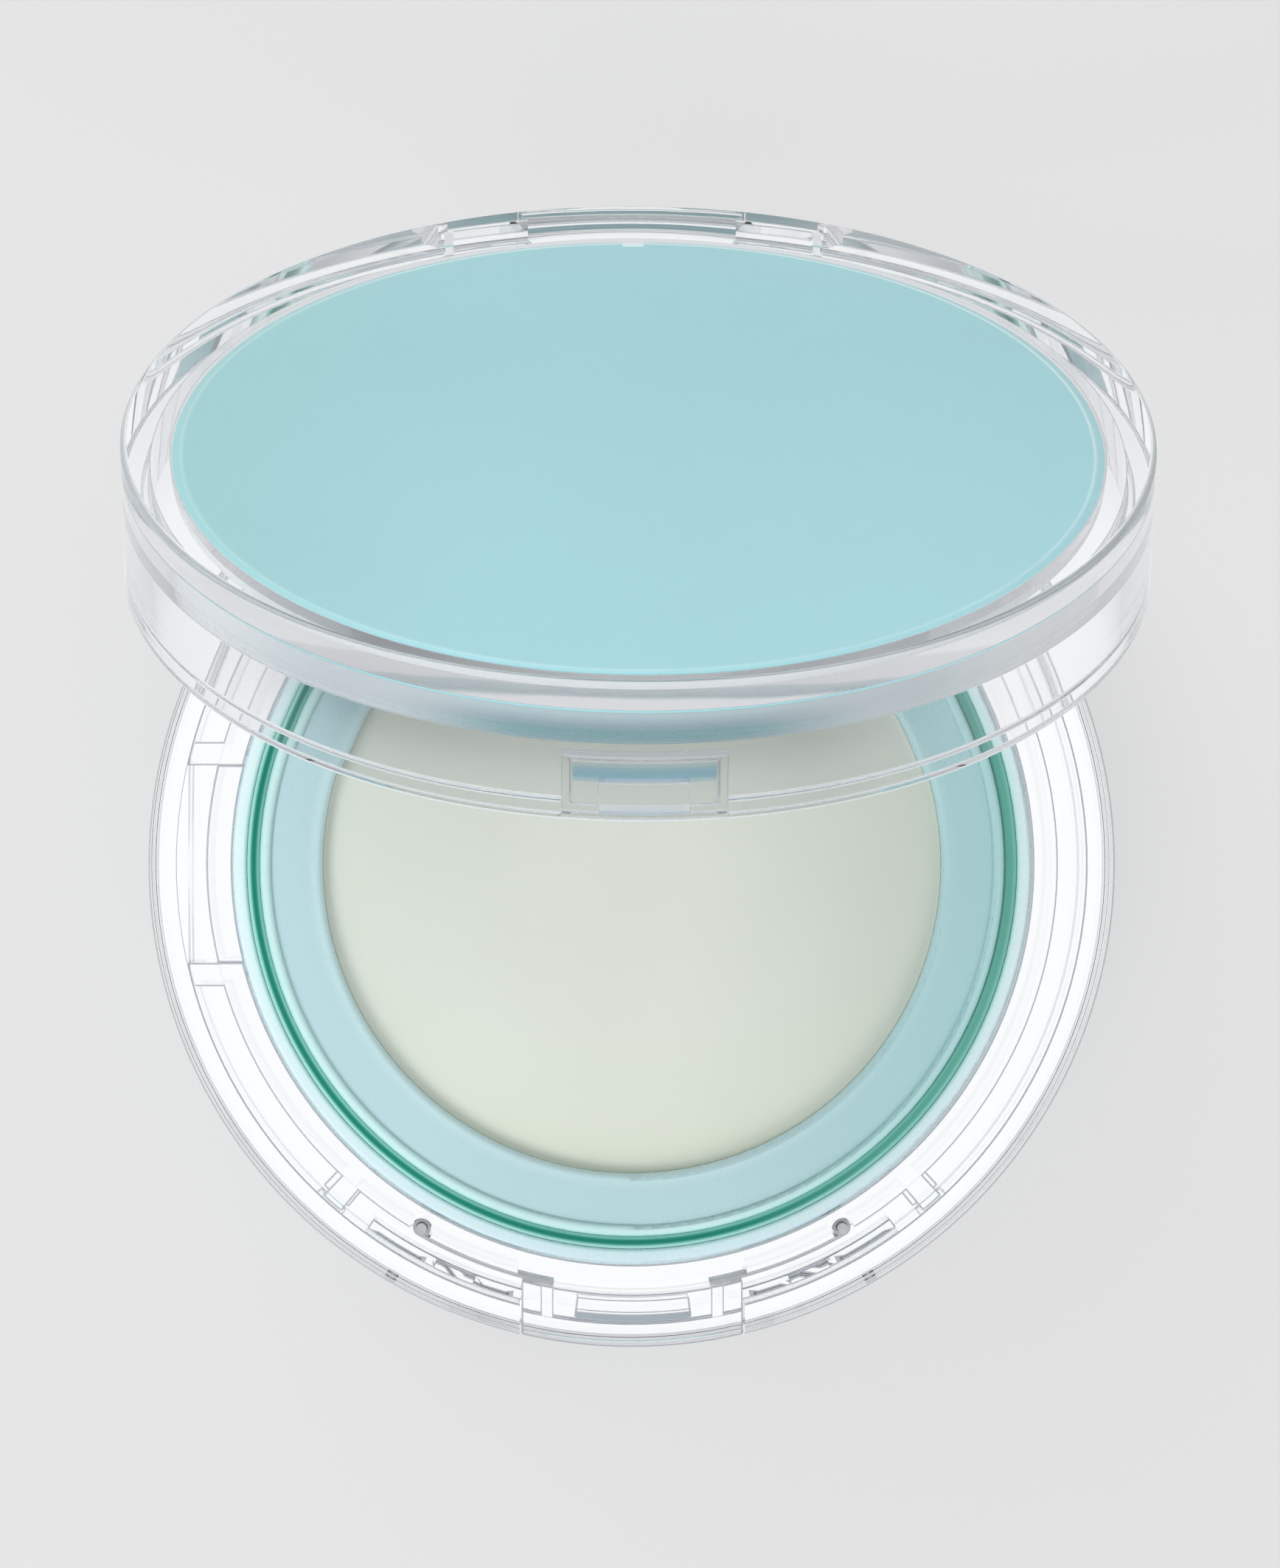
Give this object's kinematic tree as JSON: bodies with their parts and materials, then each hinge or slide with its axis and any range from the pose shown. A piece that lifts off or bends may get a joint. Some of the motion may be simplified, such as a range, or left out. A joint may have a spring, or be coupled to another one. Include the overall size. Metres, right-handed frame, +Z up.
{
  "type": "flip-lid compact case",
  "caption": "Round clear flip-lid case with an aqua lid disc and mirror, a sprung front button, and an aqua refill cup whose pale cake sits in a flat ring.",
  "frame": {"origin": "centre of the flat underside of the base", "axes": "+Z up out of the base, -Y towards the push button, +Y towards the hinge"},
  "size_m": [0.076, 0.0897, 0.0774],
  "materials": {
    "clear_plastic": "clear, polished",
    "aqua_disc": "satin, opaque aqua",
    "aqua_frame": "smooth, opaque darker aqua",
    "aqua_cup": "smooth, faintly translucent aqua",
    "aqua_ring": "smooth pale aqua",
    "teal_seal": "soft dark teal",
    "tray_aluminium": "drawn, plain",
    "cream": "waxy, satin",
    "steel": "plain spring steel",
    "tape": "matt white",
    "mirror_glass": "silvered, polished"
  },
  "bodies": {
    "base": {"base_shell": "clear_plastic", "deck_ring": "clear_plastic", "pan_cup": "aqua_cup", "seal_ring": "teal_seal", "pan_ring": "aqua_ring", "pan_tray": "tray_aluminium", "cream_cake": "cream", "spring_posts": "steel", "latch_springs": "steel", "hinge_pin": "steel"},
    "lid": {"lid_shell": "clear_plastic", "lid_disc": "aqua_disc", "mirror_frame": "aqua_frame", "mirror_tape": "tape", "mirror": "mirror_glass", "catch_plate": "clear_plastic"},
    "button": {"latch_button": "clear_plastic"}
  },
  "joints": [
    {"name": "lid_hinge", "type": "hinge", "parent": "base", "child": "lid", "pos_m": [0, 0.0352, 0.0056], "axis": [-1, 0, 0], "range_deg": [-59.4, 35.6]},
    {"name": "button_press", "type": "slide", "parent": "base", "child": "button", "axis": [0, 1, 0], "range_m": [0, 0.0008], "stiffness_N_per_m": 800, "springref_m": -0.002, "deforming": ["latch_springs"]}
  ]
}
